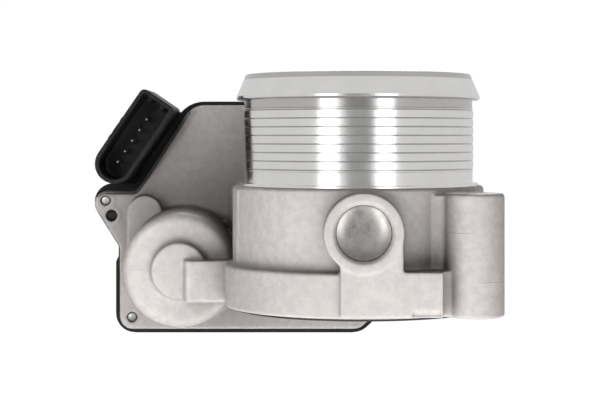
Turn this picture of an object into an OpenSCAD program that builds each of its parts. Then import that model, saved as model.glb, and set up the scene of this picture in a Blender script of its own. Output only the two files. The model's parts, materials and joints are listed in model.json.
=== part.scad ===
// Electronic throttle body. Origin: centre of the bore on the manifold flange face.
// +Z runs up the bore to the hose spigot, +Y runs along the throttle shaft to the gear housing.

/* [Bore and flange] */
// Radius of the air bore
bore_r = 31; // [30.5:0.1:31.5]
// Radius of the flange disc
flange_r = 40.5; // [40:0.1:41]
// Thickness of the flange
flange_h = 12.8; // [11:0.1:13.5]
// Radius of the cast barrel above the flange
body_r = 38.1; // [37.5:0.1:38.5]
// Height of the cast barrel's top
body_top = 36.6; // [35.5:0.1:37.5]
// Distance between bolt holes along each side
bolt_pitch = 63.5; // [63:0.5:65]
// Radius of the bolt holes
bolt_hole_r = 3.3; // [3:0.1:3.6]
// Radius of the bolt bosses
bolt_boss_r = 8.7; // [8:0.1:9]
// Height of the bolt bosses
bolt_boss_h = 35.2; // [34:0.1:36]

/* [Hose spigot] */
// Outer radius of the hose spigot
spigot_r = 35; // [34.6:0.1:35.2]
// Height of the spigot's end
spigot_top = 70; // [69:0.5:72]
// Number of grip grooves
groove_count = 8; // [4:1:8]
// Distance from groove to groove
groove_pitch = 2.5; // [2.2:0.1:2.5]
// Width of a groove
groove_w = 0.6; // [0.4:0.1:0.8]
// Depth of a groove
groove_depth = 0.4; // [0.3:0.05:0.6]
// Largest radius of the retaining bead
bead_r = 36.9; // [36.5:0.1:37.2]

/* [Throttle] */
// Height of the shaft axis above the flange face
shaft_z = 24.2; // [24:0.1:24.5]
// Radius of the shaft
shaft_r = 5; // [4.8:0.1:5]
// Thickness of the throttle plate
plate_t = 2; // [1.5:0.1:2.2]
// Gap between plate and bore
plate_gap = 0.1; // [0.08:0.01:0.2]
// Opening angle of the plate when nothing drives it
rest_angle = 7; // [5:0.5:8]
// Radius of the front shaft boss
boss_r = 11.3; // [11:0.1:11.8]
// Front plane of the pad under the shaft boss
pad_y = -41.5; // [-42:0.1:-41.3]

/* [Gear train] */
// Teeth of the full circle of the sector gear
sector_teeth = 60; // [60]
// Teeth of the small intermediate gear
small_teeth = 14; // [14]
// Teeth of the large intermediate gear
large_teeth = 50; // [50]
// Teeth of the motor pinion
pinion_teeth = 12; // [12]
// Module of the sector stage
sector_module = 1; // [1]
// Module of the motor stage
motor_module = 0.7; // [0.7]
// Play between tooth flanks
backlash = 0.14; // [0.1:0.01:0.2]

/* [Motor] */
// Motor axis, distance to the left of the bore
motor_x = -55.2; // [-55.4:0.1:-55]
// Motor axis height
motor_z = 9.4; // [9.2:0.1:9.6]
// Radius of the cast motor can at its end
can_r = 18.1; // [17.8:0.1:18.2]
// Radius of the cast motor can at the gear housing
can_root_r = 18.9; // [18.4:0.1:19]
// Radius of the steel motor case
motor_r = 15.2; // [15:0.1:15.3]

/* [Gear housing and cover] */
// Front plane of the gear housing
tray_y = 45; // [44.5:0.1:45.5]
// Plane where the cover meets the gear housing
joint_y = 55; // [54.8:0.1:55.2]
// Back plane of the cover
cover_y = 70.5; // [70.5:0.1:71]
// Wall thickness of the gear housing
tray_wall = 3.4; // [3.2:0.1:3.6]
// How far the cover's rim stands out past the housing
cover_lip = 2.4; // [2:0.1:2.5]

/* [Connector] */
// Length of the connector shroud
socket_l = 32.2; // [32:0.1:32.4]
// Width of the connector shroud
socket_w = 12.9; // [12.7:0.1:13.1]
// Tilt of the connector's long side
socket_angle = 55.7; // [55:0.1:56]
// Front plane of the connector shroud
socket_y = 30; // [29.5:0.1:30.5]
// Number of contact pins
pin_count = 5; // [5]
// Distance from pin to pin
pin_pitch = 4.2; // [4:0.1:4.3]

/* [Hidden] */
$fn = 96;
play = 0.02;                       // clearance between parts that are pressed together
running = 0.05;                    // radial clearance of running fits
half_pitch = bolt_pitch / 2;
floor_y = tray_y + 3.5;            // inner floor of the gear housing
cover_screw_r = 1.6;               // radius of the cover screws
locating_pin_r = 1.8;              // radius of the cover's locating peg
pole_count = 5;                    // poles of the motor's armature
motor_plane = [50.5, 56];          // pinion and large gear
sector_plane = [58.5, 65];         // sector and small gear
sector_pr = sector_teeth * sector_module / 2;
small_pr = small_teeth * sector_module / 2;
large_pr = large_teeth * motor_module / 2;
pinion_pr = pinion_teeth * motor_module / 2;
shaft_at = [0, shaft_z];
motor_at = [motor_x, motor_z];

// The intermediate axle is where the two centre distances meet, above the line between the axes.
stage_1 = pinion_pr + large_pr;
stage_2 = small_pr + sector_pr;
span = norm(motor_at - shaft_at);
along = (stage_2 * stage_2 - stage_1 * stage_1 + span * span) / (2 * span);
aside = sqrt(stage_2 * stage_2 - along * along);
toward_motor = (motor_at - shaft_at) / span;
axle_at = shaft_at + along * toward_motor + aside * [toward_motor[1], -toward_motor[0]];
sector_dir = atan2(axle_at[1] - shaft_at[1], axle_at[0] - shaft_at[0]);
pinion_dir = atan2(motor_at[1] - axle_at[1], motor_at[0] - axle_at[0]);

// Outline of the gear housing seen along +Y: x, z, corner radius, counter-clockwise.
outline_corners = [
    [2.5, -12.8, 5], [28.8, 11.3, 14], [28.8, 61.7, 12], [-53.4, 61.7, 8],
    [-71.9, 33.1, 2.5], [-88.9, 33.1, 4], [-77.3, 14.6, 3], [-77.3, -12.8, 4.2]
];
// Outline that the cover's rim follows, drawn in a little along the top and beside the fastening tip.
rim_corners = [
    [2.5, -12.8, 5], [28.8, 11.3, 14], [28.8, 60.8, 12], [-54, 60.8, 8], [-71.9, 33.1, 2.5],
    [-87.8, 33.1, 4], [-76.4, 14.9, 3], [-76.4, 9.4, 0.5], [-77.3, 8.5, 0.1], [-77.3, -12.8, 4.2]
];
// Outline of the gear chamber, without the fastening tip on the left.
chamber_corners = [
    [2.5, -12.8, 5], [28.8, 11.3, 14], [28.8, 61.7, 12], [-53.4, 61.7, 8],
    [-77.3, 24.7, 4], [-77.3, -12.8, 4.2]
];
through_screw_at = [[-82, 30], [-73.2, -8.8]];
blind_screw_at = [[-22, -8.6], [23.2, 14.4], [22.6, 55.4], [-50.2, 56.6]];
cover_screw_at = concat(through_screw_at, blind_screw_at);
locating_pin_at = [-80, 25];
bolt_at = [[half_pitch, -half_pitch], [half_pitch, half_pitch], [-half_pitch, half_pitch]];
motor_screw_at = [[-68.5, 26.1], motor_at + 20.5 * [cos(-40), sin(-40)]];
socket_at = [-72, 50.4];
closed_stop_at = shaft_at + 24 * [cos(284.2), sin(284.2)];
open_stop_at = shaft_at + 24 * [cos(84.8), sin(84.8)];

// ---- outlines ----
function unit(v) = v / norm(v);
function cross2(a, b) = a[0] * b[1] - a[1] * b[0];
function xy(p) = [p[0], p[1]];
function arc(cx, cy, r, a0, a1, n) =
    [for (i = [0:n]) let (a = a0 + (a1 - a0) * i / n) [cx + r * cos(a), cy + r * sin(a)]];

// Points of one rounded corner between its neighbours.
function corner(before, at, after, n) =
    let (a = unit(xy(before) - xy(at)), b = unit(xy(after) - xy(at)), half = acos(a * b) / 2)
    let (start = xy(at) + a * at[2] / tan(half), centre = xy(at) + unit(a + b) * at[2] / sin(half))
    let (a0 = atan2(start[1] - centre[1], start[0] - centre[0]))
    let (sweep = (cross2(-a, b) > 0 ? 1 : -1) * (180 - 2 * half))
    arc(centre[0], centre[1], at[2], a0, a0 + sweep, n);

function rounded(corners, n = 8) = [
    for (i = [0:len(corners) - 1])
        each corner(corners[(i + len(corners) - 1) % len(corners)], corners[i], corners[(i + 1) % len(corners)], n)
];

// The same outline moved outward by d, radii kept concentric.
function grown(corners, d) = [
    for (i = [0:len(corners) - 1])
        let (c = corners[i])
        let (e0 = unit(xy(c) - xy(corners[(i + len(corners) - 1) % len(corners)])))
        let (e1 = unit(xy(corners[(i + 1) % len(corners)]) - xy(c)))
        let (n0 = [e0[1], -e0[0]], n1 = [e1[1], -e1[0]])
        let (p = xy(c) + d * (n0 + n1) / (1 + n0 * n1))
        [p[0], p[1], max(0.4, c[2] + (cross2(e0, e1) > 0 ? d : -d))]
];

module outline(d = 0) {
    polygon(rounded(grown(outline_corners, d)));
}

module chamber(d = 0) {
    polygon(rounded(grown(chamber_corners, d)));
}

module rounded_box(w, h, r) {
    polygon(rounded([[-w / 2, -h / 2, r], [w / 2, -h / 2, r], [w / 2, h / 2, r], [-w / 2, h / 2, r]]));
}

// ---- placing things along the shaft direction ----
module slab(y0, y1) {
    translate([0, y1, 0]) rotate([90, 0, 0]) linear_extrude(y1 - y0) children();
}

module rod(at, y0, y1, r) {
    translate([at[0], y0, at[1]]) rotate([-90, 0, 0]) cylinder(h = y1 - y0, r = r);
}

module tube(at, y0, y1, r, hole_r) {
    difference() {
        rod(at, y0, y1, r);
        rod(at, y0 - 1, y1 + 1, hole_r);
    }
}

module turned(at) {
    translate([at[0], 0, at[1]]) rotate([-90, 0, 0]) rotate_extrude() children();
}

module at_xz(at) {
    translate([at[0], 0, at[1]]) children();
}

module spots(list) {
    for (p = list) translate(p) children();
}

// ---- gears: involute flanks from the base circle, stub tips ----
function involute(rb, r) = let (t = sqrt(max(0, r * r / (rb * rb) - 1))) t * 180 / PI - atan(t);

function tooth(m, n, k, tip) =
    let (pr = m * n / 2, rb = pr * cos(20), root = pr - 1.12 * m)
    let (half = 90 / n - backlash / 2 / pr * 90 / PI + involute(rb, pr), mid = 360 / n * k, start = max(rb, root))
    [
        [root, mid - half - 0.3],
        for (i = [0:4]) let (r = start + (pr + tip * m - start) * i / 4) [r, mid - half + involute(rb, r)],
        for (i = [4:-1:0]) let (r = start + (pr + tip * m - start) * i / 4) [r, mid + half - involute(rb, r)],
        [root, mid + half + 0.3]
    ];

function polar(list) = [for (p = list) p[0] * [cos(p[1]), sin(p[1])]];

module gear_shape(m, n, tip = 0.75) {
    polygon(polar([for (k = [0:n - 1]) each tooth(m, n, k, tip)]));
}

// ---- casting ----
// Ridge where the two halves of the mould met.
module parting_ridge() {
    rotate([0, 0, 198.4]) translate([body_r - 0.6, -0.5, flange_h]) cube([1, 1, body_top - flange_h - 1]);
}

function bead_profile() = [
    [spigot_r - 0.3, spigot_top - 7.8], [bead_r - 0.6, spigot_top - 7.8],
    each arc(bead_r - 0.6, spigot_top - 7.2, 0.6, -90, 0, 4),
    [bead_r, spigot_top - 6.6], [bead_r - 0.3, spigot_top - 6],
    [spigot_r - 0.9, spigot_top - 0.6], [spigot_r - 1.5, spigot_top],
    [bore_r + 0.8, spigot_top], [bore_r, spigot_top - 0.8]
];

function groove_profile(i) = let (z = body_top + 4.65 + groove_pitch * i)
    [[spigot_r, z], [spigot_r - groove_depth, z], [spigot_r - groove_depth, z + groove_w], [spigot_r, z + groove_w]];

module barrel_profile() {
    polygon([
        [bore_r, 0], [flange_r - 0.5, 0], [flange_r, 0.5], [flange_r, flange_h - 0.5], [flange_r - 0.5, flange_h],
        [body_r, flange_h + 0.4], [body_r, body_top - 0.8], [body_r - 0.8, body_top],
        [spigot_r + 1.5, body_top], [spigot_r + 1.5, body_top + 0.7],
        [spigot_r - 0.2, body_top + 0.7], [spigot_r - 0.2, body_top + 4.2],
        for (i = [0:groove_count - 1]) each groove_profile(i),
        [spigot_r, spigot_top - 10.5], [spigot_r - 0.3, spigot_top - 10.3],
        each bead_profile()
    ]);
}

// Vertical bolt boss with rounded ends.
module bolt_boss() {
    rotate_extrude() polygon([
        [0, 0], each arc(bolt_boss_r - 0.8, 0.8, 0.8, -90, 0, 4),
        each arc(bolt_boss_r - 1, bolt_boss_h - 1, 1, 0, 90, 4), [0, bolt_boss_h]
    ]);
}

// Web between boss and barrel, flared where it meets the barrel.
module bolt_web(p) {
    side = [[33, 12], [37.2, 9], [39.5, 7.6], [45, 7]];
    rotate([0, 0, atan2(p[1], p[0])]) linear_extrude(bolt_boss_h - 0.6)
        polygon(concat(side, [for (i = [3:-1:0]) [side[i][0], -side[i][1]]]));
}

// Fillet that closes the gap between the pad and the front bolt boss.
module pad_fillet() {
    translate([21, -37, 0.5]) cube([4, 8, flange_h]);
}

module shaft_boss_front() {
    rod(shaft_at, pad_y - 0.3, -28, boss_r);
    difference() {
        translate([-6.7, pad_y, 0.5]) cube([28.9, 15, flange_h]);
        // bevel left by the casting gate
        translate([13.6, pad_y - 1, -0.8]) rotate([40, 0, 0]) cube([8, 3, 2.2]);
    }
    translate([-6.7, pad_y, 0.5]) cube([17.8, 15, shaft_z]);
}

module motor_can() {
    end_y = 12.6;
    turned(motor_at) polygon([
        [0, 10], each arc(8.2, 10.6, 0.6, -90, 0, 4), each arc(10.8, 10.6, 2, 180, 90, 6),
        each arc(can_r - 3, end_y + 3, 3, -90, 0, 8),
        [can_root_r - 0.1, tray_y - 1.6], each arc(can_root_r + 1.5, tray_y - 1.5, 1.5, 180, 90, 5),
        [can_root_r + 1.5, tray_y + 0.5], [0, tray_y + 0.5]
    ]);
}

// Swelling on the housing's front for the upper motor screw.
module screw_swelling() {
    slab(tray_y - 6, tray_y + 0.5) translate(motor_screw_at[0])
        polygon(concat(arc(0, 0, 5.7, 0, 180, 16), [[-5.7, -18], [5.7, -18]]));
}

module tray() {
    slab(tray_y, joint_y) outline();
    for (p = [through_screw_at[0], locating_pin_at]) rod(p, tray_y - 0.2, tray_y + 1, 3.1);
}

// Rebate along the edges beside the connector.
module tray_rebate() {
    rebate_w = 0.9;
    rebate_depth = 2;
    left_of = -54;
    above = 31.5;
    slab(tray_y - 1, tray_y + rebate_depth) difference() {
        translate([left_of - 41, above]) square([41, 30]);
        outline(-rebate_w);
    }
}

module neck() {
    translate([-27, 18, 2]) cube([52, 28, 32]);
    rod(shaft_at, 30, 46, 15);
    linear_extrude(flange_h) polygon(rounded([[-53.8, 7.7, 2.5], [-32, 7.7, 1], [-32, 45.4, 1], [-53.8, 45.4, 1]]));
    translate([motor_x + 8, 16, 4]) cube([30, 30, 12]);
    rod(axle_at, 38, 46, 6);
}

module seal_groove() {
    translate([0, 0, -1]) difference() {
        cylinder(h = 3, r = 38.4);
        translate([0, 0, -1]) cylinder(h = 5, r = 35.6);
    }
}

module shaft_bores() {
    rod(shaft_at, pad_y - 1, floor_y + 1, shaft_r + 0.3);
    rod(shaft_at, pad_y - 1, -32.4, 7 + play);
    rod(shaft_at, pad_y - 1, -38.6, 7.8);
    turned(shaft_at) polygon([[0, pad_y - 1], [9.2, pad_y - 1], [8.7, pad_y - 0.1], [8.1, pad_y + 0.5], [0, pad_y + 0.5]]);
    rod(shaft_at, 32, floor_y + 1, 8 + play);
    rod(shaft_at, 41.5, floor_y + 1, 11 + play);
}

module motor_bay() {
    rod(motor_at, 15.6, floor_y + 1, motor_r + 0.3);
    rod(motor_at, 13, 17, 6.5);
    for (p = motor_screw_at) rod(p, 41, floor_y + 1, 1.5);
}

module gear_chamber() {
    slab(floor_y, joint_y + 1) difference() {
        chamber(-tray_wall);
        spots(cover_screw_at) circle(r = 4.2);
    }
}

// Groove for the cover gasket in the rim of the gear housing.
module gasket_ring(inner, outer) {
    difference() {
        chamber(-inner);
        chamber(-outer);
        spots(cover_screw_at) circle(r = 3.3);
    }
}

module throttle_housing() {
    color([0.78, 0.76, 0.74]) {
        difference() {
            union() {
                difference() {
                    union() {
                        rotate_extrude() barrel_profile();
                        for (p = bolt_at) translate(p) bolt_boss();
                        for (p = bolt_at) bolt_web(p);
                        shaft_boss_front();
                        pad_fillet();
                        motor_can();
                        screw_swelling();
                        tray();
                        neck();
                        parting_ridge();
                    }
                    translate([0, 0, -1]) cylinder(h = body_top + 2, r = bore_r);
                    gear_chamber();
                    tray_rebate();
                }
                rod(axle_at, tray_y, floor_y + 1.6, 5);
                rod(open_stop_at, tray_y + 1, 63, 2);
            }
            for (p = bolt_at) translate([p[0], p[1], -1]) cylinder(h = bolt_boss_h + 2, r = bolt_hole_r);
            seal_groove();
            shaft_bores();
            motor_bay();
            rod(axle_at, tray_y + 1.6, floor_y + 3, 2.5 + play);
            rod(closed_stop_at, tray_y + 1.5, floor_y + 1, 2 + play);
            for (p = through_screw_at) rod(p, tray_y - 2, joint_y + 1, cover_screw_r + play);
            for (p = blind_screw_at) rod(p, tray_y + 2, joint_y + 1, cover_screw_r + play);
            rod(locating_pin_at, tray_y - 2, joint_y + 1, locating_pin_r + running);
            slab(joint_y - 1.4, joint_y + 1) gasket_ring(1.1, 2.5);
        }
    }
}

module flange_seal() {
    color([0.12, 0.12, 0.12]) difference() {
        cylinder(h = 1.9, r = 38.2);
        translate([0, 0, -1]) cylinder(h = 4, r = 35.8);
    }
}

// ---- shaft and its bearings ----
module sealing_plug() {
    dome_r = 22;
    face = pad_y - 0.2;
    color([0.62, 0.6, 0.58]) turned(shaft_at) polygon([
        [0, face + 3], [0, face],
        for (i = [1:10]) let (r = 7 * i / 10) [r, face + dome_r - sqrt(dome_r * dome_r - r * r)],
        [7.78, face + 2.6], [7.78, face + 3]
    ]);
}

module front_bearing() {
    color([0.7, 0.7, 0.72]) tube(shaft_at, -38, -32.6, 7, shaft_r + running);
}

module shaft_seals() {
    color([0.15, 0.12, 0.1]) tube(shaft_at, 37.2, 41.3, 8, shaft_r + running);
    color([0.15, 0.12, 0.1]) tube(shaft_at, 32.2, 36.2, 8, shaft_r + running);
}

module ball_track() {
    turned(shaft_at) translate([8, 44.5]) circle(r = 1.7);
}

module rear_bearing_outer_ring() {
    color([0.72, 0.72, 0.74]) difference() {
        tube(shaft_at, 41.5, 47.5, 11, 9.1);
        ball_track();
    }
}

module rear_bearing_inner_ring() {
    color([0.72, 0.72, 0.74]) difference() {
        tube(shaft_at, 41.5, 47.5, 6.9, shaft_r + play);
        ball_track();
    }
}

module rear_bearing_balls() {
    color([0.8, 0.8, 0.82]) for (i = [0:10])
        at_xz(shaft_at) rotate([0, i * 360 / 11, 0]) translate([8, 44.5, 0]) sphere(r = 1.6);
}

// Everything that turns with the plate is drawn at the rest angle.
module at_rest() {
    translate([0, 0, shaft_z]) rotate([0, rest_angle, 0]) children();
}

module throttle_shaft() {
    screw_y = 13;
    color([0.66, 0.66, 0.68]) difference() {
        rod(shaft_at, -37.8, 66, shaft_r);
        at_rest() {
            translate([-6, -bore_r, -plate_t / 2 - play]) cube([12, 2 * bore_r, plate_t + 2 * play]);
            for (y = [-screw_y, screw_y]) {
                translate([0, y, -6]) cylinder(h = 12, r = 2 + play);
                translate([0, y, 3.4]) cylinder(h = 3, r = 3.9);
            }
        }
    }
}

module throttle_plate() {
    color([0.8, 0.68, 0.4]) at_rest() difference() {
        translate([0, 0, -plate_t / 2]) cylinder(h = plate_t, r = bore_r - plate_gap);
        for (y = [-13, 13]) translate([0, y, -2]) cylinder(h = 4, r = 2 + play);
    }
}

module plate_screws() {
    color([0.55, 0.55, 0.57]) at_rest() for (y = [-13, 13]) translate([0, y, 0]) difference() {
        union() {
            translate([0, 0, -4.8]) cylinder(h = 8.4, r = 2);
            translate([0, 0, 3.42]) cylinder(h = 1.5, r = 3.6);
        }
        translate([0, 0, 4]) cylinder(h = 2, r = 1.5, $fn = 6);
    }
}

module sector_shape() {
    difference() {
        rotate(sector_dir) intersection() {
            gear_shape(sector_module, sector_teeth);
            polygon(concat([[0, 0]], arc(0, 0, 40, -15, 87, 12)));
        }
        rotate(sector_dir) polygon(concat(arc(0, 0, 15, -4, 76, 10), arc(0, 0, 25, 76, -4, 10)));
    }
}

module sector_gear() {
    color([0.2, 0.2, 0.2]) difference() {
        union() {
            at_xz(shaft_at) slab(sector_plane[0], sector_plane[1]) sector_shape();
            rod(shaft_at, sector_plane[0], sector_plane[1] + 2.6, 11);
            // lug that carries the spring's moving leg
            at_xz(shaft_at) rotate([0, -60, 0]) translate([10, sector_plane[0], -2]) cube([7.5, 4, 4]);
        }
        rod(shaft_at, sector_plane[0] - 1, 66.1, shaft_r + play);
        rod(shaft_at, 63.4, sector_plane[1] + 4, 9);
    }
}

module arc_block(r0, r1, a0, a1) {
    polygon(concat(arc(0, 0, r1, a0, a1, 12), arc(0, 0, r0, a1, a0, 12)));
}

module sector_magnets() {
    color([0.25, 0.25, 0.27]) for (a = [0, 180])
        at_xz(shaft_at) slab(63.5, 67) arc_block(6.2, 8.8, a + 25, a + 155);
}

module spring_guide() {
    color([0.85, 0.83, 0.78]) tube(shaft_at, floor_y + 0.1, 58.2, 11, 9.6);
}

// Tube along a path: rings of side points, joined ring to ring, with flat ends or closed.
module wire(path, r, sides, closed = false) {
    n = len(path);
    rings = [for (i = [0:n - 1])
        let (t = unit(path[closed ? (i + 1) % n : min(n - 1, i + 1)] - path[closed ? (i + n - 1) % n : max(0, i - 1)]))
        let (u = unit(cross(t, [0.02, 1, 0.01])), v = cross(t, u))
        for (k = [0:sides - 1]) path[i] + r * (cos(360 * (k + 0.5) / sides) * u + sin(360 * (k + 0.5) / sides) * v)];
    quads = [for (i = [0:closed ? n - 1 : n - 2]) for (k = [0:sides - 1])
        let (a = i * sides + k, b = i * sides + (k + 1) % sides, c = (i + 1) % n * sides)
        each [[a, b, c + (k + 1) % sides], [a, c + (k + 1) % sides, c + k]]];
    caps = closed ? [] : [[for (k = [sides - 1:-1:0]) k], [for (k = [0:sides - 1]) (n - 1) * sides + k]];
    polyhedron(points = rings, faces = concat(quads, caps), convexity = 8);
}

module return_spring() {
    coil_r = 13;
    turns = 5;
    steps = 20;
    first_y = floor_y + 1.1;
    pitch = 1.65;
    coil = [for (i = [0:turns * steps]) let (a = 200 + i * 360 / steps)
        [coil_r * cos(a), first_y + pitch * i / steps, coil_r * sin(a)]];
    leg_in = coil[0] - 7 * [-sin(200), 0, cos(200)];
    leg_out = coil[len(coil) - 1] + 6 * [-sin(200), 0, cos(200)];
    color([0.5, 0.5, 0.52]) at_xz(shaft_at) wire(concat([leg_in], coil, [leg_out]), 0.65, 8);
}

module closed_stop_screw() {
    color([0.6, 0.6, 0.62]) difference() {
        rod(closed_stop_at, tray_y + 1.6, 63, 2);
        slab(61.6, 64) translate(closed_stop_at) circle(r = 1.1, $fn = 6);
    }
}

// ---- gears between motor and shaft ----
module intermediate_gear() {
    color([0.88, 0.86, 0.8]) difference() {
        at_xz(axle_at) {
            slab(motor_plane[0], motor_plane[1]) difference() {
                rotate(pinion_dir) gear_shape(motor_module, large_teeth);
                for (i = [0:5]) rotate(i * 60) translate([10.8, 0]) circle(r = 3);
            }
            slab(motor_plane[1] - 0.5, sector_plane[1])
                rotate(sector_dir + 180 + 180 / small_teeth) gear_shape(sector_module, small_teeth);
        }
        rod(axle_at, 49, 67, 2.5 + running);
    }
}

module intermediate_pin() {
    color([0.7, 0.7, 0.72]) rod(axle_at, tray_y + 1.7, 67.6, 2.5);
}

// ---- motor ----
module motor_case() {
    color([0.7, 0.7, 0.68]) difference() {
        union() {
            rod(motor_at, 16.8, 48.4, motor_r);
            rod(motor_at, 13.2, 18, 4.6);
        }
        rod(motor_at, 17.8, 49, motor_r - 1);
        rod(motor_at, 14, 19, 3.6);
        rod(motor_at, 12, 19, 1.8);
    }
}

module motor_magnets() {
    color([0.22, 0.22, 0.24]) for (a = [0, 180])
        at_xz(motor_at) slab(20, 40.5) arc_block(12.5, motor_r - 1.05, a + 32, a + 148);
}

module motor_bearings() {
    color([0.72, 0.55, 0.32]) tube(motor_at, 14.1, 17.6, 3.55, 1.5 + running);
    color([0.72, 0.55, 0.32]) tube(motor_at, 46.6, 49.9, 3.5, 1.5 + running);
}

module motor_wave_spring() {
    path = [for (i = [0:59]) [10.5 * cos(i * 6), 16.2 + 0.22 * sin(i * 18), 10.5 * sin(i * 6)]];
    color([0.6, 0.6, 0.62]) at_xz(motor_at) wire(path, 0.3, 4, true);
}

module motor_end_plate() {
    color([0.74, 0.74, 0.72]) difference() {
        slab(floor_y, floor_y + 1.4) difference() {
            union() {
                translate(motor_at) circle(r = 16.3);
                for (p = motor_screw_at) {
                    translate(p) circle(r = 3.1);
                    translate((p + motor_at) / 2) rotate(atan2(p[1] - motor_z, p[0] - motor_x))
                        square([norm(p - motor_at), 6], center = true);
                }
            }
            spots(motor_screw_at) circle(r = 1.8);
            translate(motor_at) circle(r = 3.5 + play);
            terminal_spots() square([2.6, 5.2], center = true);
        }
    }
}

module terminal_spots() {
    for (a = [195, 252]) translate(motor_at) rotate(a) translate([11.2, 0]) children();
}

module brush_holder() {
    color([0.16, 0.16, 0.15]) difference() {
        rod(motor_at, 42, floor_y - 0.1, motor_r - 1.1);
        rod(motor_at, 41, 46.4, 5.4);
        rod(motor_at, 41, 50, 3.5 + play);
        at_xz(motor_at) rotate([0, 35, 0]) translate([-14, 42.6, -2.1]) cube([28, 3.2, 4.2]);
        slab(44, 50) terminal_spots() square([1.3, 4.3], center = true);
    }
}

module brushes() {
    color([0.2, 0.19, 0.19]) for (side = [0, 180])
        at_xz(motor_at) rotate([0, 35 + side, 0]) translate([4.6, 42.7, -2]) cube([6.5, 3, 4]);
}

module motor_terminals() {
    color([0.78, 0.6, 0.35]) slab(44.2, 57.5) terminal_spots() square([1.2, 4.2], center = true);
}

module motor_screws() {
    color([0.6, 0.6, 0.62]) for (p = motor_screw_at) difference() {
        union() {
            rod(p, 41.4, floor_y + 1.6, 1.45);
            rod(p, floor_y + 1.45, floor_y + 3.2, 3);
        }
        slab(floor_y + 2.2, floor_y + 4) translate(p) circle(r = 1.3, $fn = 6);
    }
}

module motor_shaft() {
    color([0.75, 0.75, 0.77]) rod(motor_at, 14.3, 56.4, 1.5);
}

module armature_stack() {
    color([0.45, 0.45, 0.47]) difference() {
        at_xz(motor_at) slab(21, 39) {
            circle(r = 5);
            for (i = [0:pole_count - 1]) rotate(i * 360 / pole_count) {
                translate([3, -1.5]) square([8, 3]);
                arc_block(10.4, 12.1, -28, 28);
            }
        }
        rod(motor_at, 20, 40, 1.5 + play);
    }
}

module armature_windings() {
    color([0.72, 0.38, 0.16]) at_xz(motor_at) for (i = [0:pole_count - 1])
        rotate([0, i * 360 / pole_count, 0]) difference() {
            translate([5.8, 19.4, -3]) cube([4.1, 21.2, 6]);
            translate([5, 20.9, -1.6]) cube([6, 18.2, 3.2]);
        }
}

module commutator() {
    color([0.75, 0.48, 0.25]) difference() {
        tube(motor_at, 40.9, 46, 4.5, 1.5 + play);
        for (i = [0:pole_count - 1])
            at_xz(motor_at) rotate([0, 36 + i * 360 / pole_count, 0]) translate([3.6, 40, -0.2]) cube([2, 7, 0.4]);
    }
}

module motor_pinion() {
    color([0.74, 0.6, 0.34]) difference() {
        at_xz(motor_at) slab(motor_plane[0], motor_plane[1])
            rotate(pinion_dir + 180 + 180 / pinion_teeth) gear_shape(motor_module, pinion_teeth);
        rod(motor_at, 49, 58, 1.5 + play);
    }
}

// ---- cover with its connector ----
function socket_corners(inset) = grown([
    [-socket_l / 2, -socket_w / 2, socket_w / 2 - 0.05], [socket_l / 2, -socket_w / 2, 1.8],
    [socket_l / 2, socket_w / 2, 1.8], [-socket_l / 2, socket_w / 2, socket_w / 2 - 0.05]
], -inset);

module on_socket() {
    translate(socket_at) rotate(socket_angle) children();
}

module pin_spots() {
    for (i = [0:pin_count - 1]) translate([pin_pitch * (i - (pin_count - 1) / 2) - 0.6, 0]) children();
}

module socket_shell() {
    slab(socket_y, 62) on_socket() polygon(rounded(socket_corners(0)));
    // latch ribs on the outer side
    slab(socket_y + 1.5, 48) on_socket() for (x = [-3.4, 3.4])
        translate([x - 0.7, socket_w / 2 - 0.5]) square([1.4, 0.8]);
    slab(socket_y + 4, socket_y + 6.5) on_socket() translate([-2, socket_w / 2 - 0.5]) square([4, 0.95]);
    // bridge to the cover's box
    slab(joint_y + 0.5, 65) on_socket() translate([-13.5, -socket_w / 2 - 8]) square([26, 10]);
}

module socket_cavity() {
    difference() {
        slab(socket_y - 1, 44) on_socket() polygon(rounded(socket_corners(1.5)));
        // keying ribs at the square end
        slab(socket_y + 1, 45) on_socket() for (y = [-2.4, 2.4])
            translate([socket_l / 2 - 2.9, y - 0.5]) square([2, 1]);
    }
    slab(43, 61) on_socket() pin_spots() square(1.04, center = true);
}

module cover_box(d) {
    difference() {
        chamber(d);
        spots(cover_screw_at) circle(r = 5.2 - d - 0.6);
    }
}

module cover_ribs() {
    for (a = [190, 225, 260, 295]) at_xz(shaft_at) rotate([0, -a, 0])
        translate([16, cover_y - 0.5, -0.8]) cube([9, 1.8, 1.6]);
    for (x = [-66, -60, -54, -48]) translate([x, cover_y - 0.5, 26]) cube([1.6, 1.5, 18]);
}

module gear_cover() {
    color([0.1, 0.1, 0.1]) difference() {
        union() {
            slab(joint_y, joint_y + 3) polygon(rounded(grown(rim_corners, cover_lip)));
            slab(joint_y + 2, cover_y - 1) cover_box(-0.6);
            slab(cover_y - 1.5, cover_y) cover_box(-1.6);
            rod(shaft_at, cover_y - 1, 75, 17);
            rod(motor_at, cover_y - 1, cover_y + 1.6, 9);
            cover_ribs();
            socket_shell();
            // peg through the housing's locating hole
            rod(locating_pin_at, tray_y + 0.8, joint_y + 1, locating_pin_r - running);
        }
        slab(joint_y - 1, 68) difference() {
            chamber(-tray_wall);
            spots(cover_screw_at) circle(r = 7.6);
            // socket for the end of the intermediate axle
            translate(axle_at) circle(r = 5);
        }
        rod(axle_at, joint_y - 1, 66.2, 5.1);
        rod(axle_at, 66, 67.8, 2.6);
        rod(shaft_at, 67, 72.8, 14.5);
        slab(joint_y - 1, joint_y + 5) spots(cover_screw_at) circle(r = cover_screw_r + 0.3);
        socket_cavity();
    }
}

module cover_gasket() {
    color([0.35, 0.12, 0.1]) slab(joint_y - 1.35, joint_y - 0.02) gasket_ring(1.15, 2.45);
}

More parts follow.
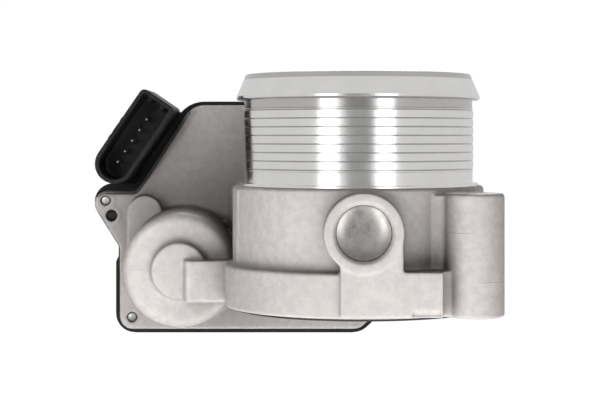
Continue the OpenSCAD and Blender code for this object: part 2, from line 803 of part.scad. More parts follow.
module cover_screws() {
    color([0.75, 0.75, 0.75]) for (p = cover_screw_at) difference() {
        union() {
            rod(p, p[0] < -60 ? tray_y - 0.3 : tray_y + 2.5, joint_y + 3.2, cover_screw_r);
            rod(p, joint_y + 3.05, joint_y + 5.4, 3.6);
        }
        slab(joint_y + 4, joint_y + 6) translate(p) circle(r = 1.5, $fn = 6);
    }
}

module connector_pins() {
    color([0.72, 0.7, 0.62]) slab(socket_y + 6, 60.5) on_socket() pin_spots() square(1, center = true);
}

module sensor_board() {
    color([0.1, 0.35, 0.18]) difference() {
        slab(71, 72.4) translate(shaft_at) rounded_box(21, 16, 1);
        slab(70, 73) translate(shaft_at) for (x = [-8.2, 8.2]) translate([x, 0]) circle(r = 1.1);
    }
}

module sensor_chip() {
    color([0.08, 0.08, 0.08]) slab(69.4, 70.98) translate(shaft_at) rounded_box(6, 5, 0.4);
}

throttle_housing();
flange_seal();
sealing_plug();
front_bearing();
shaft_seals();
rear_bearing_outer_ring();
rear_bearing_balls();
rear_bearing_inner_ring();
throttle_shaft();
throttle_plate();
plate_screws();
sector_gear();
sector_magnets();
spring_guide();
return_spring();
closed_stop_screw();
intermediate_gear();
intermediate_pin();
motor_case();
motor_magnets();
motor_bearings();
motor_wave_spring();
motor_end_plate();
brush_holder();
brushes();
motor_terminals();
motor_screws();
motor_shaft();
armature_stack();
armature_windings();
commutator();
motor_pinion();
gear_cover();
cover_gasket();
cover_screws();
connector_pins();
sensor_board();
sensor_chip();
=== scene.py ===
import json
import math

import bpy
import bmesh
from mathutils import Matrix, Vector


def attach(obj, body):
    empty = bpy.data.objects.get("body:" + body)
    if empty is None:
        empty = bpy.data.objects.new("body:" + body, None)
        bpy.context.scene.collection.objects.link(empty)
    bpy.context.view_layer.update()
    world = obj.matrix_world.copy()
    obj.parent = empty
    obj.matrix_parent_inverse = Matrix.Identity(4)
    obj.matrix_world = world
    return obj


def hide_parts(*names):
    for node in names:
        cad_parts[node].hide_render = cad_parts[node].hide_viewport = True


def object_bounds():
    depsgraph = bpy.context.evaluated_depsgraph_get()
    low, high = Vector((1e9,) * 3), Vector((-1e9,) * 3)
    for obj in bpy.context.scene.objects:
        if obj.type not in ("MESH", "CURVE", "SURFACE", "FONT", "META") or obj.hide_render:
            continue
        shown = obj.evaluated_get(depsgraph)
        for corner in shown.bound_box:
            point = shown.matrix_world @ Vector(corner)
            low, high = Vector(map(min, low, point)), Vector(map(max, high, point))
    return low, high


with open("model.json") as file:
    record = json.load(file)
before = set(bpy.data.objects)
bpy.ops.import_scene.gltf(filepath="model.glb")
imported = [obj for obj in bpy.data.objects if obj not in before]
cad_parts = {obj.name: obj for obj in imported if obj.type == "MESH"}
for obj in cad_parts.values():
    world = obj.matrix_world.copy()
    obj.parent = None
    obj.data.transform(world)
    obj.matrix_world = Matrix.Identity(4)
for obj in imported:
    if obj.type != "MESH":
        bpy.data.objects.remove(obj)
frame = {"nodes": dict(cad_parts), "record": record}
cad_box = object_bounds()

MM = 0.001

# The camera that the photograph's perspective leads to, in the CAD frame.
CAMERA_AT = (-21.07, -487.8, 51.1)
CAMERA_LENS = 96.16
CAMERA_SHIFT = (0.0182, -0.105)

# Sizes in millimetres, in the CAD frame.
BORE_R = 31.0
SPIGOT_R = 35.0
SPIGOT_TOP = 70.0
BARREL_TOP = 36.6
COLLAR_R = 36.5
RELIEF_R = 34.8
FIRST_GROOVE = 5
GROOVE_COUNT = 8
GROOVE_PITCH = 2.5
GROOVE_W = 0.4
GROOVE_DEPTH = 0.32
NECK_R = 34.7
BEAD_R = 36.9
BEAD_EDGE_R = 0.6
SHAFT_Z = 24.2
SHAFT_HOLE_R = 5.3
BOSS_TOP = 35.2
SHAFT_BOSS_R = 14.0
SEAL_IN_R = 35.75
SEAL_OUT_R = 38.15
SEAL_TOP = 1.7
CAN_SEAM_Z = 9.3
BOSS_SEAM_Z = 23.9
LOW_SEAM_Z = 10.1
SEAM_W = 0.25
PLUG_FACE_Y = -41.7
PLUG_RIM_R = 7.7
PLUG_DEPTH = 3.1
TRAY_Y = 45.0
JOINT_Y = 55.0
SCREW_SEAT_Y = JOINT_Y + 3.05
SCREW_CORE_R = 1.38
SCREW_THREAD_R = 1.6
SCREW_PITCH = 0.7
SCREW_HEAD_R = 2.9
WASHER_R = 3.6
SOCKET_AT = (-72, 50.4)
SOCKET_ANGLE = 55.7
PIN_COUNT = 5
PIN_PITCH = 4.2
PIN_ROW_SHIFT = -0.6
PIN_TIP_Y = 36.0
PIN_BACK_Y = 60.5
THROUGH_SCREWS = ((-82, 30), (-73.2, -8.8))
BLIND_SCREWS = ((-22, -8.6), (23.2, 14.4), (22.6, 55.4), (-50.2, 56.6))


# ---- meshes ----
def link(name, mesh):
    piece = bpy.data.objects.new(name, mesh)
    bpy.context.scene.collection.objects.link(piece)
    return piece


def smooth_by_angle(mesh, degrees):
    mesh.shade_smooth()
    mesh.set_sharp_from_angle(angle=math.radians(degrees))


def arc(centre_r, centre_h, radius, start, end, steps):
    """Points of an arc in a lathe profile, with angles in degrees."""
    points = []
    for i in range(steps + 1):
        a = math.radians(start + (end - start) * i / steps)
        points.append((centre_r + radius * math.cos(a), centre_h + radius * math.sin(a)))
    return points


def lathe(name, profile, centre=(0, 0, 0), along="Z", segments=240):
    """A closed profile of (radius, height) points in mm, turned round Z or Y. Radius 0 makes a pole."""
    bm = bmesh.new()
    rings = []
    for radius, height in profile:
        count = 1 if radius == 0 else segments
        ring = []
        for i in range(count):
            a = 2 * math.pi * i / segments
            u, v = radius * math.cos(a), radius * math.sin(a)
            point = (u, v, height) if along == "Z" else (u, height, v)
            ring.append(bm.verts.new([c + p for c, p in zip(centre, point)]))
        rings.append(ring)
    for k, ring in enumerate(rings):
        after = rings[(k + 1) % len(rings)]
        if len(ring) == 1 and len(after) == 1:
            continue
        for i in range(segments):
            j = (i + 1) % segments
            corners = [ring[i % len(ring)], ring[j % len(ring)], after[j % len(after)], after[i % len(after)]]
            bm.faces.new(list(dict.fromkeys(corners)))
    bmesh.ops.recalc_face_normals(bm, faces=bm.faces)
    return from_bmesh(name, bm)


def from_bmesh(name, bm):
    mesh = bpy.data.meshes.new(name)
    bm.to_mesh(mesh)
    bm.free()
    return link(name, mesh)


def prism(name, outline, low_y, high_y):
    """A solid between two planes across Y, with an outline of (x, z) points."""
    bm = bmesh.new()
    ends = [[bm.verts.new((x, y, z)) for x, z in outline] for y in (low_y, high_y)]
    for end in ends:
        bm.faces.new(end)
    for i in range(len(outline)):
        j = (i + 1) % len(outline)
        bm.faces.new((ends[0][i], ends[0][j], ends[1][j], ends[1][i]))
    bmesh.ops.recalc_face_normals(bm, faces=bm.faces)
    return from_bmesh(name, bm)


def joined(name, pieces):
    bm = bmesh.new()
    for piece in pieces:
        bm.from_mesh(piece.data)
        bpy.data.objects.remove(piece)
    return from_bmesh(name, bm)


def cad_copy(name, node):
    """A copy of a CAD node in mm, its faces joined up again along their shared edges."""
    bm = bmesh.new()
    bm.from_mesh(frame["nodes"][node].data)
    bmesh.ops.remove_doubles(bm, verts=bm.verts, dist=2e-6)
    bmesh.ops.scale(bm, vec=(1 / MM, 1 / MM, 1 / MM), verts=bm.verts)
    return from_bmesh(name, bm)


def apply_modifiers(piece):
    graph = bpy.context.evaluated_depsgraph_get()
    mesh = bpy.data.meshes.new_from_object(piece.evaluated_get(graph))
    piece.modifiers.clear()
    piece.data = mesh
    mesh.name = piece.name


def cut(piece, *cutters):
    for cutter in cutters:
        tool = piece.modifiers.new("cut", "BOOLEAN")
        tool.operation = "DIFFERENCE"
        tool.solver = "EXACT"
        tool.object = cutter
    apply_modifiers(piece)
    for cutter in cutters:
        bpy.data.objects.remove(cutter)


def soften(piece, voxel, passes, most_triangles):
    """Rounds every edge the way casting or moulding does: fine remesh, smoothing, then fewer triangles."""
    remesh = piece.modifiers.new("remesh", "REMESH")
    remesh.mode = "VOXEL"
    remesh.voxel_size = voxel
    smooth = piece.modifiers.new("smooth", "SMOOTH")
    smooth.factor = 0.5
    smooth.iterations = passes
    apply_modifiers(piece)
    triangles = sum(len(face.vertices) - 2 for face in piece.data.polygons)
    if triangles > most_triangles:
        fewer = piece.modifiers.new("fewer", "DECIMATE")
        fewer.ratio = most_triangles / triangles
        apply_modifiers(piece)
    piece.data.shade_smooth()


def finish_piece(piece, material, slot_name, body, *nodes):
    """Gives a piece made in mm its material, its true size and its place in the assembly."""
    piece.data.materials.clear()
    piece.data.materials.append(material)
    piece.data.transform(Matrix.Scale(MM, 4))
    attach(piece, body)
    if nodes:
        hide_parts(*nodes)


# ---- materials ----
class Shader:
    """A node material under construction. Its coordinates are the piece's own, in metres."""

    def __init__(self, name, **sockets):
        self.material = bpy.data.materials.new(name)
        self.material.use_nodes = True
        self.tree = self.material.node_tree
        self.surface = self.tree.nodes["Principled BSDF"]
        coordinates = self.tree.nodes.new("ShaderNodeTexCoord").outputs
        self.place = coordinates["Object"]
        self.facing = coordinates["Normal"]
        for socket, value in sockets.items():
            self.surface.inputs[socket.replace("_", " ")].default_value = value

    def add(self, kind, inputs=None, **settings):
        node = self.tree.nodes.new(kind)
        for key, value in settings.items():
            setattr(node, key, value)
        for key, value in (inputs or {}).items():
            if isinstance(value, bpy.types.NodeSocket):
                self.tree.links.new(value, node.inputs[key])
            else:
                node.inputs[key].default_value = value
        return node

    def stretched(self, scale):
        return self.add("ShaderNodeMapping", {"Vector": self.place, "Scale": scale}).outputs["Vector"]

    def noise(self, scale, detail=3, rough=0.55, place=None):
        inputs = {"Vector": place or self.place, "Scale": scale, "Detail": detail, "Roughness": rough}
        return self.add("ShaderNodeTexNoise", inputs).outputs["Fac"]

    def remap(self, value, low, high, to_low=0.0, to_high=1.0, smooth=True):
        inputs = {"Value": value, "From Min": low, "From Max": high, "To Min": to_low, "To Max": to_high}
        kind = "SMOOTHSTEP" if smooth else "LINEAR"
        return self.add("ShaderNodeMapRange", inputs, interpolation_type=kind).outputs["Result"]

    def math(self, operation, a, b=0.0):
        return self.add("ShaderNodeMath", {0: a, 1: b}, operation=operation).outputs["Value"]

    def parts(self, vector):
        return self.add("ShaderNodeSeparateXYZ", {"Vector": vector}).outputs[:]

    def band(self, value, centre, half):
        """1 at the centre of a band of values, 0 outside it."""
        away = self.math("ABSOLUTE", self.math("SUBTRACT", value, centre))
        return self.remap(away, half, half * 0.5)

    def mix(self, factor, a, b):
        """Two colours mixed. A Mix node keeps one hidden set of sockets for each kind of value."""
        inputs = {"Factor": factor, "A": a, "B": b}
        node = self.tree.nodes.new("ShaderNodeMix")
        node.data_type = "RGBA"
        for key, value in inputs.items():
            socket = next(s for s in node.inputs if s.name == key and s.enabled)
            if isinstance(value, bpy.types.NodeSocket):
                self.tree.links.new(value, socket)
            else:
                socket.default_value = value
        return next(s for s in node.outputs if s.enabled)

    def bump(self, height, distance, strength, normal=None):
        inputs = {"Height": height, "Distance": distance, "Strength": strength}
        if normal is not None:
            inputs["Normal"] = normal
        return self.add("ShaderNodeBump", inputs).outputs["Normal"]

    def use(self, **links):
        """Links values to the sockets of the surface and hands over the finished material."""
        for socket, value in links.items():
            self.tree.links.new(value, self.surface.inputs[socket.replace("_", " ")])
        return self.material

    def wear_and_corner_shade(self):
        """1 on outer edges, 0 in corners, 0.5 on flat ground: a mask for wear on edges and for painted shade
        in corners.
        """
        return self.add("ShaderNodeNewGeometry").outputs["Pointiness"]


def rgb(r, g, b):
    return (r, g, b, 1.0)


def grey(level):
    return rgb(level, level, level)


def milled_faces(s, x, z, up):
    """1 on the flange face and the tops of the bolt bosses, and 0 on the shaft boss, which is as high."""
    top = s.math("MULTIPLY", s.remap(up, 0.9, 0.97), s.band(z, BOSS_TOP * MM, 0.3 * MM))
    top = s.math("MULTIPLY", top, s.remap(s.math("ABSOLUTE", x), SHAFT_BOSS_R * MM, (SHAFT_BOSS_R + 4) * MM))
    faces = s.math("MAXIMUM", top, s.remap(up, -0.9, -0.97))
    return s.math("MULTIPLY", faces, s.math("MAXIMUM", top, s.band(z, 0, 0.4 * MM)))


def mould_seams(s, x, y, z):
    """1 on the lines where the mould's halves met: one on the motor can and two on the right bolt boss."""
    can, boss, low = [s.band(z, level * MM, SEAM_W * MM) for level in (CAN_SEAM_Z, BOSS_SEAM_Z, LOW_SEAM_Z)]
    can = s.math("MULTIPLY", can, s.remap(x, -58 * MM, -60.5 * MM))
    boss = s.math("MULTIPLY", boss, s.band(x, 26.8 * MM, 5 * MM))
    boss = s.math("MULTIPLY", boss, s.remap(y, -24 * MM, -26 * MM))
    low = s.math("MULTIPLY", low, s.remap(x, 31.2 * MM, 32.2 * MM))
    return s.math("MAXIMUM", s.math("MAXIMUM", can, boss), low)


def cast_aluminium():
    s = Shader("cast_aluminium")
    blotches = s.remap(s.noise(55, 4), 0.3, 0.7)
    mottle = s.remap(s.noise(420, 5, 0.65), 0.35, 0.65)
    grain = s.noise(2600, 2)
    colour = s.mix(blotches, rgb(0.42, 0.394, 0.383), rgb(0.475, 0.449, 0.437))
    colour = s.mix(s.math("MULTIPLY", mottle, 0.55), colour, rgb(0.36, 0.34, 0.33))
    edge = s.wear_and_corner_shade()
    colour = s.mix(s.remap(edge, 0.53, 0.66, 0, 0.25), colour, rgb(0.64, 0.62, 0.605))
    # painted shade: darker in corners and creases
    colour = s.mix(s.remap(edge, 0.46, 0.34, 0, 0.2), colour, rgb(0.2, 0.19, 0.182))
    # painted shade: darker where the part is hemmed in, in recesses and between parts
    occlusion_shade = s.add("ShaderNodeAmbientOcclusion", {"Distance": 0.045}, samples=8).outputs["AO"]
    colour = s.mix(s.remap(occlusion_shade, 0.3, 0.97, 0.95, 0, False), colour, rgb(0.10, 0.093, 0.088))
    rough = s.math("ADD", s.remap(mottle, 0, 1, 0.5, 0.58), s.remap(grain, 0.3, 0.7, -0.03, 0.03))
    x, y, z = s.parts(s.place)
    milled = milled_faces(s, x, z, s.parts(s.facing)[2])
    passes = s.noise(1.0, 3, place=s.stretched((2600, 60, 60)))
    colour = s.mix(milled, colour, s.mix(passes, rgb(0.62, 0.61, 0.60), rgb(0.74, 0.73, 0.72)))
    rough = s.math("SUBTRACT", rough, s.math("MULTIPLY", milled, 0.26))
    lumps = s.bump(s.noise(700, 4, 0.6), 0.00011, 0.5)
    normal = s.bump(grain, 0.00003, 0.5, lumps)
    normal = s.bump(mould_seams(s, x, y, z), 0.00012, 0.7, normal)
    metal = s.remap(milled, 0, 1, 0.45, 1)
    return s.use(Base_Color=colour, Roughness=rough, Normal=normal, Metallic=metal)


def machined_aluminium():
    s = Shader("machined_aluminium", Metallic=1.0)
    rings = s.noise(1.0, 2, place=s.stretched((30, 30, 9000)))
    scuffs = s.remap(s.noise(140, 4), 0.35, 0.7)
    colour = s.mix(scuffs, rgb(0.90, 0.89, 0.88), rgb(0.94, 0.93, 0.92))
    radius = s.add("ShaderNodeVectorMath", {0: s.stretched((1, 1, 0))}, operation="LENGTH").outputs["Value"]
    # painted shade: the grooves' floors are darker; the bore, far inside them, is not
    shade_below_surface = s.remap(radius, (SPIGOT_R - GROOVE_DEPTH) * MM, (SPIGOT_R - 0.21) * MM, 1, 0)
    outside_bore = s.remap(radius, (BORE_R + 2.6) * MM, (BORE_R + 3) * MM)
    colour = s.mix(s.math("MULTIPLY", shade_below_surface, outside_bore), colour, rgb(0.6, 0.59, 0.58))
    rough = s.math("ADD", s.remap(scuffs, 0, 1, 0.15, 0.2), s.remap(rings, 0.3, 0.7, -0.02, 0.03))
    normal = s.bump(rings, 0.000006, 0.6)
    return s.use(Base_Color=colour, Roughness=rough, Normal=normal)


def plain_metal(name, dark, light, rough, scratch=(400, 400, 400)):
    s = Shader(name, Metallic=1.0)
    streaks = s.noise(1.0, 4, place=s.stretched(scratch))
    patches = s.noise(160, 3)
    colour = s.mix(s.remap(streaks, 0.3, 0.7), dark, light)
    broad = s.remap(patches, 0.3, 0.7, rough * 0.8, rough * 1.2)
    roughness = s.math("ADD", broad, s.remap(streaks, 0.3, 0.7, -0.04, 0.04))
    normal = s.bump(streaks, 0.000006, 0.4)
    return s.use(Base_Color=colour, Roughness=roughness, Normal=normal)


def moulded(name, dark, light, rough, grain_scale=2400, depth=0.00003, gloss=0.5):
    s = Shader(name, Specular_IOR_Level=gloss)
    grain = s.noise(grain_scale, 3)
    patches = s.noise(90, 4)
    colour = s.mix(s.remap(patches, 0.3, 0.7), dark, light)
    rubbed = rgb(*[min(1, 2.5 * c + 0.01) for c in light[:3]])
    colour = s.mix(s.remap(s.wear_and_corner_shade(), 0.53, 0.65, 0, 0.18), colour, rubbed)
    broad = s.remap(patches, 0.3, 0.7, rough - 0.06, rough + 0.06)
    roughness = s.math("ADD", broad, s.remap(grain, 0.3, 0.7, -0.04, 0.04))
    normal = s.bump(grain, depth, 0.6)
    return s.use(Base_Color=colour, Roughness=roughness, Normal=normal)


def make_materials():
    metals = {
        "plug_steel": (rgb(0.52, 0.495, 0.475), rgb(0.6, 0.575, 0.555), 0.27, (450, 450, 450)),
        "plate_brass": (rgb(0.60, 0.46, 0.22), rgb(0.70, 0.56, 0.30), 0.32, (60, 1800, 60)),
        "bronze": (rgb(0.42, 0.28, 0.12), rgb(0.55, 0.40, 0.2), 0.35),
        "contact_metal": (rgb(0.74, 0.73, 0.70), rgb(0.86, 0.85, 0.82), 0.4),
        "copper": (rgb(0.5, 0.2, 0.08), rgb(0.62, 0.3, 0.14), 0.3),
        "zinc_steel": (rgb(0.66, 0.66, 0.65), rgb(0.82, 0.82, 0.81), 0.34, (900, 900, 900)),
        "spring_steel": (rgb(0.2, 0.2, 0.21), rgb(0.33, 0.33, 0.34), 0.34),
        "steel": (rgb(0.45, 0.45, 0.46), rgb(0.57, 0.57, 0.58), 0.28, (60, 60, 2000)),
    }
    mouldings = {
        "seal_rubber": (grey(0.010), grey(0.018), 0.62),
        "gear_nylon_dark": (grey(0.022), rgb(0.035, 0.035, 0.034), 0.5),
        "gear_nylon_light": (rgb(0.66, 0.62, 0.52), rgb(0.76, 0.73, 0.64), 0.42),
        "magnet": (rgb(0.03, 0.03, 0.034), rgb(0.05, 0.05, 0.055), 0.55, 1500, 0.00006),
        "black_plastic": (rgb(0.006, 0.006, 0.0055), rgb(0.010, 0.010, 0.0095), 0.45, 2400, 0.00003, 0.22),
        "board_green": (rgb(0.012, 0.09, 0.03), rgb(0.02, 0.13, 0.05), 0.3),
    }
    materials = {"cast_aluminium": cast_aluminium(), "machined_aluminium": machined_aluminium()}
    for name, look in metals.items():
        materials[name] = plain_metal(name, *look)
    for name, look in mouldings.items():
        materials[name] = moulded(name, *look)
    return materials


# ---- pieces ----
def cast_housing(materials):
    """The casting with soft edges, without the turned spigot and bore, which are a piece of their own."""
    piece = cad_copy("cast_housing", "throttle_housing")
    top = SPIGOT_TOP + 5
    seat_r = SPIGOT_R + 1.6
    clear_r = SPIGOT_R + 4
    turned_space = lathe("turned_space", [
        (0, -1), (BORE_R + 1, -1), (BORE_R + 1, BARREL_TOP - 0.5), (seat_r, BARREL_TOP - 0.5),
        (seat_r, BARREL_TOP + 0.9), (clear_r, BARREL_TOP + 1), (clear_r, top), (0, top)
    ])
    cut(piece, turned_space)
    soften(piece, voxel=0.4, passes=3, most_triangles=195000)
    finish_piece(piece, materials["cast_aluminium"], "cast_aluminium", "housing", "throttle_housing")


def grooves():
    """Profile points of narrow grip grooves with rounded floors."""
    half = GROOVE_W / 2
    # parts of the depth and of half the width
    shape = [(0, -1), (0.55, -0.85), (0.9, -0.5), (1, 0), (0.9, 0.5), (0.55, 0.85), (0, 1)]
    points = []
    for i in range(GROOVE_COUNT):
        middle = BARREL_TOP + FIRST_GROOVE + GROOVE_PITCH * i
        points += [(SPIGOT_R - GROOVE_DEPTH * depth, middle + half * across) for depth, across in shape]
    return points


def turned_spigot(materials):
    """The machined bore, the spigot with its grip grooves and the retaining bead."""
    liner_r = BORE_R + 1.3
    bead_low = SPIGOT_TOP - 7.8
    profile = [
        (liner_r, 0.02), (liner_r, BARREL_TOP - 0.4), (COLLAR_R, BARREL_TOP - 0.4),
        (COLLAR_R, BARREL_TOP + 0.5), (COLLAR_R - 0.2, BARREL_TOP + 0.7), (RELIEF_R, BARREL_TOP + 0.7),
        (RELIEF_R, BARREL_TOP + 4.3), (SPIGOT_R, BARREL_TOP + 4.5)
    ]
    profile += grooves()
    profile += [(SPIGOT_R, SPIGOT_TOP - 10.5), (NECK_R, SPIGOT_TOP - 10.3), (NECK_R, bead_low)]
    profile += arc(BEAD_R - BEAD_EDGE_R, bead_low + BEAD_EDGE_R, BEAD_EDGE_R, -90, 0, 6)
    profile += [(BEAD_R, SPIGOT_TOP - 6.6), (BEAD_R - 0.3, SPIGOT_TOP - 6)]
    profile += arc(SPIGOT_R - 1.1, SPIGOT_TOP - 0.25, 0.25, 20, 90, 4)
    profile += [(BORE_R + 0.8, SPIGOT_TOP), (BORE_R, SPIGOT_TOP - 0.8), (BORE_R, 0.5), (BORE_R + 0.4, 0.02)]
    piece = lathe("turned_spigot", profile, segments=288)
    reach = BORE_R + 9
    hole_profile = [(0, -reach), (SHAFT_HOLE_R, -reach), (SHAFT_HOLE_R, reach), (0, reach)]
    cut(piece, lathe("shaft_hole", hole_profile, (0, 0, SHAFT_Z), "Y", 64))
    smooth_by_angle(piece.data, 25)
    finish_piece(piece, materials["machined_aluminium"], "cast_aluminium", "housing")


def cover(materials):
    """The moulded cover with its connector shroud, from the CAD shape with soft edges."""
    piece = cad_copy("moulded_cover", "gear_cover")
    soften(piece, voxel=0.38, passes=5, most_triangles=150000)
    finish_piece(piece, materials["black_plastic"], "black_plastic", "housing", "gear_cover")


def seal(materials):
    """A ring in the flange's groove that stands a little below the flange face."""
    inner_round = 0.45
    outer_round = 0.55
    profile = [(SEAL_IN_R, SEAL_TOP)]
    profile += arc(SEAL_IN_R + inner_round, -0.2, inner_round, 180, 270, 5)
    profile += arc(SEAL_OUT_R - 0.3 - outer_round, -0.3, outer_round, 240, 360, 8)
    profile += [(SEAL_OUT_R, 0.4), (SEAL_OUT_R, SEAL_TOP)]
    piece = lathe("lipped_seal", profile)
    smooth_by_angle(piece.data, 50)
    finish_piece(piece, materials["seal_rubber"], "seal_rubber", "housing", "flange_seal")


def plug(materials):
    """A pressed cap: flattest in the middle, turning down more and more toward its edge."""
    back_y = PLUG_FACE_Y + PLUG_DEPTH
    steps = 24
    profile = [(0, back_y), (0, PLUG_FACE_Y)]
    for i in range(1, steps + 1):
        r = PLUG_RIM_R * i / steps
        share = r / PLUG_RIM_R
        profile.append((r, PLUG_FACE_Y + 0.3 * share ** 2 + 0.62 * share ** 4))
    profile += [(PLUG_RIM_R, back_y)]
    piece = lathe("domed_plug", profile, (0, 0, SHAFT_Z), "Y", 160)
    smooth_by_angle(piece.data, 60)
    finish_piece(piece, materials["plug_steel"], "plug_steel", "housing", "sealing_plug")


def six_lobes(at):
    """The outline of a six-lobed driver recess around a point."""
    outline = []
    steps = 72
    for i in range(steps):
        a = 2 * math.pi * i / steps
        r = 1.42 + 0.2 * math.cos(6 * a)
        outline.append((at[0] + r * math.cos(a), at[1] + r * math.sin(a)))
    return outline


def cover_screw(at, tip_y):
    """A thread-forming screw: blunt tip, threads, washer face, and a pan head with a six-lobed recess."""
    seat = SCREW_SEAT_Y
    profile = [(0, tip_y), (0.8, tip_y + 0.03), (1.2, tip_y + 0.15)]
    profile += [(1.42, tip_y + 0.45), (1.48, tip_y + 1.6)]
    y = tip_y + 1.9
    while y < seat - 1.2:
        profile += [(SCREW_CORE_R, y), (SCREW_THREAD_R, y + 0.4 * SCREW_PITCH)]
        profile += [(SCREW_CORE_R, y + 0.8 * SCREW_PITCH)]
        y += SCREW_PITCH
    profile += [(1.45, seat), (WASHER_R, seat), (WASHER_R, seat + 0.35), (WASHER_R - 0.15, seat + 0.55)]
    profile += [(SCREW_HEAD_R + 0.05, seat + 0.68), (SCREW_HEAD_R, seat + 1.2)]
    profile += arc(SCREW_HEAD_R - 0.9, seat + 1.45, 0.9, 0, 90, 6) + [(0, seat + 2.35)]
    piece = lathe("cover_screw", profile, (at[0], 0, at[1]), "Y", 48)
    cut(piece, prism("recess", six_lobes(at), seat + 0.95, seat + 3))
    return piece


def cover_screw_set(materials):
    """Two screws whose tips come through the tray's ears, and four in blind holes."""
    screws = [cover_screw(at, TRAY_Y - 0.3) for at in THROUGH_SCREWS]
    screws += [cover_screw(at, TRAY_Y + 2.5) for at in BLIND_SCREWS]
    piece = joined("cover_screw_set", screws)
    smooth_by_angle(piece.data, 35)
    finish_piece(piece, materials["zinc_steel"], "zinc_steel", "housing", "cover_screws")


def contact_pins(materials):
    """Square tin-plated pins with four-sided points."""
    lean = math.radians(SOCKET_ANGLE)
    across = Vector((math.cos(lean), 0, math.sin(lean)))
    side = Vector((-math.sin(lean), 0, math.cos(lean)))
    centre = Vector((SOCKET_AT[0], 0, SOCKET_AT[1]))
    bm = bmesh.new()
    for i in range(PIN_COUNT):
        middle = centre + across * (PIN_PITCH * (i - (PIN_COUNT - 1) / 2) + PIN_ROW_SHIFT)
        rings = []
        # place along Y, half width, and how much the corners are broken
        for y, half, corner in ((PIN_TIP_Y, 0.2, 0.07), (PIN_TIP_Y + 0.1, 0.25, 0.08),
                                (PIN_TIP_Y + 1.2, 0.48, 0.1), (PIN_BACK_Y, 0.5, 0.1)):
            flat = half - corner
            outline = [(half, -flat), (half, flat), (flat, half), (-flat, half),
                       (-half, flat), (-half, -flat), (-flat, -half), (flat, -half)]
            points = [middle + across * u + side * v + Vector((0, y, 0)) for u, v in outline]
            rings.append([bm.verts.new(point) for point in points])
        for low, high in zip(rings, rings[1:]):
            for k in range(8):
                bm.faces.new((low[k], low[(k + 1) % 8], high[(k + 1) % 8], high[k]))
        bm.faces.new(rings[0])
        bm.faces.new(rings[-1])
    bmesh.ops.recalc_face_normals(bm, faces=bm.faces)
    piece = from_bmesh("contact_pins", bm)
    smooth_by_angle(piece.data, 20)
    finish_piece(piece, materials["contact_metal"], "contact_metal", "housing", "connector_pins")


def bevelled(name, node, width, materials, body):
    """A CAD node with its sharp edges broken."""
    piece = cad_copy(name, node)
    bm = bmesh.new()
    bm.from_mesh(piece.data)
    bmesh.ops.dissolve_limit(bm, angle_limit=math.radians(1), verts=bm.verts, edges=bm.edges)
    bm.to_mesh(piece.data)
    bm.free()
    edge = piece.modifiers.new("edges", "BEVEL")
    edge.width = width
    edge.segments = 2
    edge.limit_method = "ANGLE"
    edge.angle_limit = math.radians(40)
    apply_modifiers(piece)
    smooth_by_angle(piece.data, 35)
    slot_name = next(part["material_slot"] for part in frame["record"]["subparts"] if part["node"] == node)
    finish_piece(piece, materials[slot_name], slot_name, body, node)


def paint_cad_nodes(materials):
    """Every CAD node gets its record's material; the pieces made here replace the ones that show most."""
    for part in frame["record"]["subparts"]:
        mesh = frame["nodes"][part["node"]].data
        mesh.materials.clear()
        mesh.materials.append(materials[part["material_slot"]])


# ---- studio ----
# Places and sizes in metres, powers in watts.
FLOOR_DROP = 0.12
FLOOR_W = 7
BACKDROP_R = 4
TENT_R = 3.9
TENT_LEVEL = 0.65
WORLD_LEVEL = 0.3
BOUNCE_GAP = 0.01
BOUNCE_LEVEL = 0.2
FLAG_GREY = 0.45
SHADE_GREY = 0.04
SHADE_W = 0.6
SOFT_BOX_H = 0.66
SOFT_BOXES = (("soft_left", (-0.44, -0.75, 0.26), 0.3, 1.0), ("soft_right", (0.36, -0.8, 0.26), 0.28, 0.9))
LOW_LAMPS = (("low_left", -0.09, 2.15), ("low_right", 0.05, 1.4))
LOW_LAMP_GAP = 0.005
SHADES = (("shade_left", -0.36), ("shade_right", 0.3))


def plane(name, centre, width, height, facing, material):
    """A flat card that faces a point."""
    bm = bmesh.new()
    bmesh.ops.create_grid(bm, x_segments=1, y_segments=1, size=0.5)
    piece = from_bmesh(name, bm)
    turn = (Vector(facing) - Vector(centre)).to_track_quat("Z", "Y").to_matrix().to_4x4()
    size = Matrix.Diagonal((width, height, 1, 1))
    piece.data.transform(Matrix.Translation(centre) @ turn @ size)
    piece.data.materials.append(material)
    return piece


def area(name, location, target, width, height, power):
    light = bpy.data.lights.new(name, "AREA")
    light.shape = "RECTANGLE"
    light.size = width
    light.size_y = height
    light.energy = power
    lamp = bpy.data.objects.new(name, light)
    lamp.location = location
    lamp.rotation_euler = (Vector(target) - Vector(location)).to_track_quat("-Z", "Y").to_euler()
    lamp.visible_camera = False
    bpy.context.scene.collection.objects.link(lamp)
    return lamp


def make_camera():
    data = bpy.data.cameras.new("camera")
    data.lens = CAMERA_LENS
    data.sensor_width = 36
    data.shift_x, data.shift_y = CAMERA_SHIFT
    data.clip_start = 0.01
    data.clip_end = 20
    cam = bpy.data.objects.new("camera", data)
    cam.location = [c * MM for c in CAMERA_AT]
    cam.rotation_euler = (math.radians(90), 0, 0)
    bpy.context.scene.collection.objects.link(cam)
    bpy.context.scene.camera = cam


def only_seen_by(piece, *rays):
    for ray in ("camera", "diffuse", "glossy", "transmission", "volume_scatter", "shadow"):
        setattr(piece, "visible_" + ray, ray in rays)


def surround(name, radius, paper, ray):
    """A sphere around everything that only one kind of ray sees, so that it lights nothing else."""
    bm = bmesh.new()
    bmesh.ops.create_icosphere(bm, subdivisions=4, radius=radius)
    bmesh.ops.reverse_faces(bm, faces=bm.faces)
    piece = from_bmesh(name, bm)
    piece.data.materials.append(paper)
    only_seen_by(piece, ray)


def white_paper():
    """Paper that glows evenly, so that it shows white and takes no shadow."""
    s = Shader("white_paper", Base_Color=grey(0), Roughness=1.0, Emission_Strength=1.0)
    return s.use(Emission_Color=s.remap(s.noise(0.5, 1), 0, 1, 0.995, 1.005))


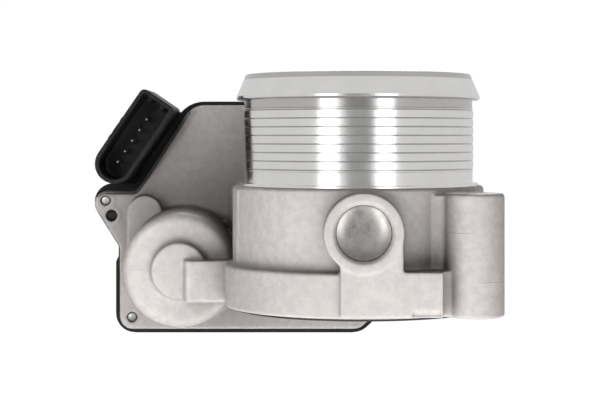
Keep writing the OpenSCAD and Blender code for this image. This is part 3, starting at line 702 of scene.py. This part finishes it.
def bounce_card():
    """Light that a pale table throws back up."""
    s = Shader("bounce_card", Roughness=0.9, Emission_Color=grey(1), Emission_Strength=BOUNCE_LEVEL)
    return s.use(Base_Color=s.mix(s.noise(30, 2), grey(0.6), grey(0.65)))


def card(name, level):
    """A matt grey for cards that block light."""
    s = Shader(name, Roughness=1.0)
    return s.use(Base_Color=s.mix(s.noise(3, 1), grey(level), grey(level * 1.04)))


def light_tent(radius):
    """Brightest from the horizon up to well above the part, dimmer below and straight above."""
    s = Shader("light_tent", Base_Color=grey(0), Roughness=1.0, Emission_Strength=TENT_LEVEL)
    height = s.parts(s.place)[2]
    below = s.remap(height, -0.4 * radius, -0.06 * radius, 0.46, 1, False)
    above = s.remap(height, 0.8 * radius, 0.94 * radius, 1, 0.54, False)
    return s.use(Emission_Color=s.math("MULTIPLY", below, above))


def white_surroundings(floor_z):
    """What the camera and the reflections see around the part."""
    surround("backdrop", BACKDROP_R, white_paper(), "camera")
    surround("tent", TENT_R, light_tent(TENT_R), "glossy")
    paper_floor = plane("floor", (0, 0, floor_z), FLOOR_W, FLOOR_W, (0, 0, 1), white_paper())
    only_seen_by(paper_floor, "camera")
    flag = plane("flag", (-0.02, -0.9, 0.21), 0.42, 0.52, (0, 0, 0.05), card("grey_card", FLAG_GREY))
    flag.visible_camera = False


def fill_light(floor_z):
    """What scattered light meets: a pale table below and a dark shade at each side."""
    bounce = plane("bounce", (0, 0, floor_z - BOUNCE_GAP), FLOOR_W, FLOOR_W, (0, 0, 1), bounce_card())
    only_seen_by(bounce, "diffuse", "shadow")
    black_card = card("black_card", SHADE_GREY)
    for name, x in SHADES:
        shade = plane(name, (x, 0.02, 0.1), SHADE_W, SHADE_W, (0, 0.02, 0.1), black_card)
        only_seen_by(shade, "diffuse", "shadow")


def lamps(floor_z):
    """Soft boxes for the highlights, one lamp behind, one on the gear tray, and two low ones."""
    for name, place, width, power in SOFT_BOXES:
        gloss = area(name, place, (0, 0, 0.03), width, SOFT_BOX_H, power)
        gloss.visible_diffuse = False
    area("soft_back", (0.02, 0.55, 0.7), (0, 0.05, 0.03), 0.4, 0.4, 3)
    tray_light = area("tray_light", (-0.25, -0.4, 0.06), (-0.046, 0.045, 0.042), 0.06, 0.06, 0.017)
    tray_light.data.spread = math.radians(18)
    tray_light.visible_glossy = False
    low = floor_z + LOW_LAMP_GAP
    for name, x, power in LOW_LAMPS:
        lamp = area(name, (x, -0.23, low), (x, -0.23, 1), 0.32, 0.34, power)
        lamp.visible_glossy = False


def studio():
    bpy.context.scene.view_settings.view_transform = "Standard"
    world = bpy.data.worlds.new("studio")
    bpy.context.scene.world = world
    world.use_nodes = True
    background = world.node_tree.nodes["Background"]
    background.inputs["Color"].default_value = grey(1)
    background.inputs["Strength"].default_value = WORLD_LEVEL
    floor_z = cad_box[0][2] - FLOOR_DROP
    white_surroundings(floor_z)
    fill_light(floor_z)
    lamps(floor_z)


make_camera()
studio()
materials = make_materials()
paint_cad_nodes(materials)
cast_housing(materials)
turned_spigot(materials)
cover(materials)
seal(materials)
plug(materials)
cover_screw_set(materials)
bevelled("plate_disc", "throttle_plate", 0.3, materials, "throttle")
bevelled("slotted_shaft", "throttle_shaft", 0.4, materials, "throttle")
bevelled("plate_screw_pair", "plate_screws", 0.25, materials, "throttle")
contact_pins(materials)
